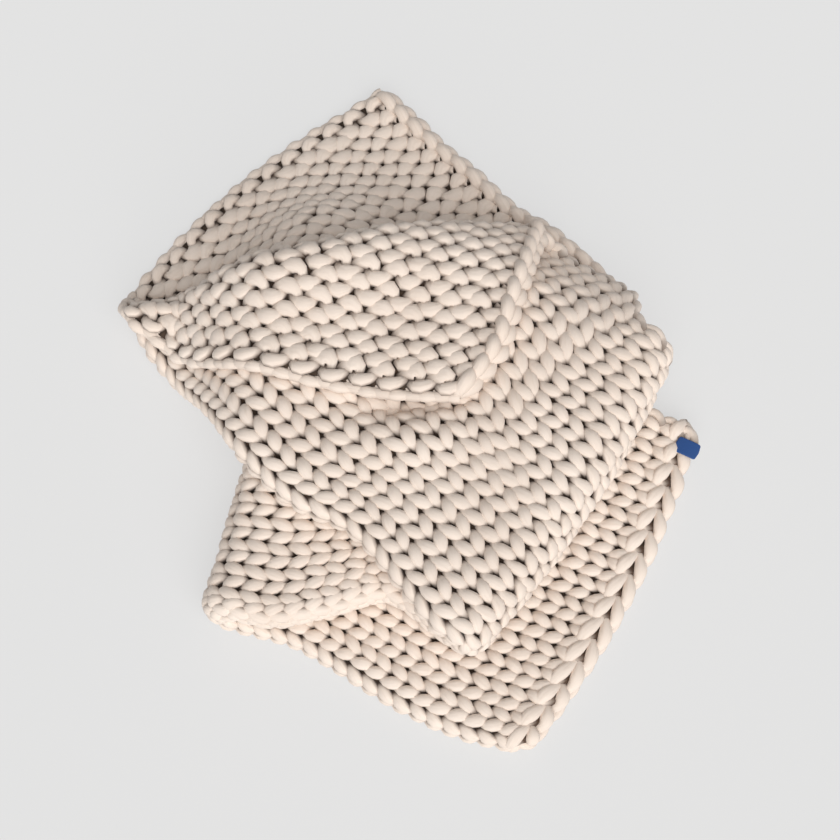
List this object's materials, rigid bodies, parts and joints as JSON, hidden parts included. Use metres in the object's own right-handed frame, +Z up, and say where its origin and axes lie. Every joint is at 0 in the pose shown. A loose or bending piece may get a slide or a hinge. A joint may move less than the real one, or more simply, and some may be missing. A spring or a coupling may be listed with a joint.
{
  "type": "folded chunky-knit weighted blanket",
  "caption": "Thick knitted blanket folded in half along its length and laid in a loose oblique pile, one corner turned back over the top and a small blank label sewn at its edge.",
  "frame": {"origin": "on the floor, under the middle of the folded pile's bounding box", "axes": "+Z up; +Y towards the starting edge that lies at the back of the pile; +X towards the label's side"},
  "size_m": [0.7902, 0.9794, 0.1916],
  "materials": {
    "cotton_yarn": "matt beige cotton jersey, stuffed into thick soft yarn",
    "woven_label": "matt blue woven ribbon"
  },
  "bodies": {
    "root": {"blanket": "cotton_yarn", "sewn_label": "woven_label"}
  },
  "joints": []
}
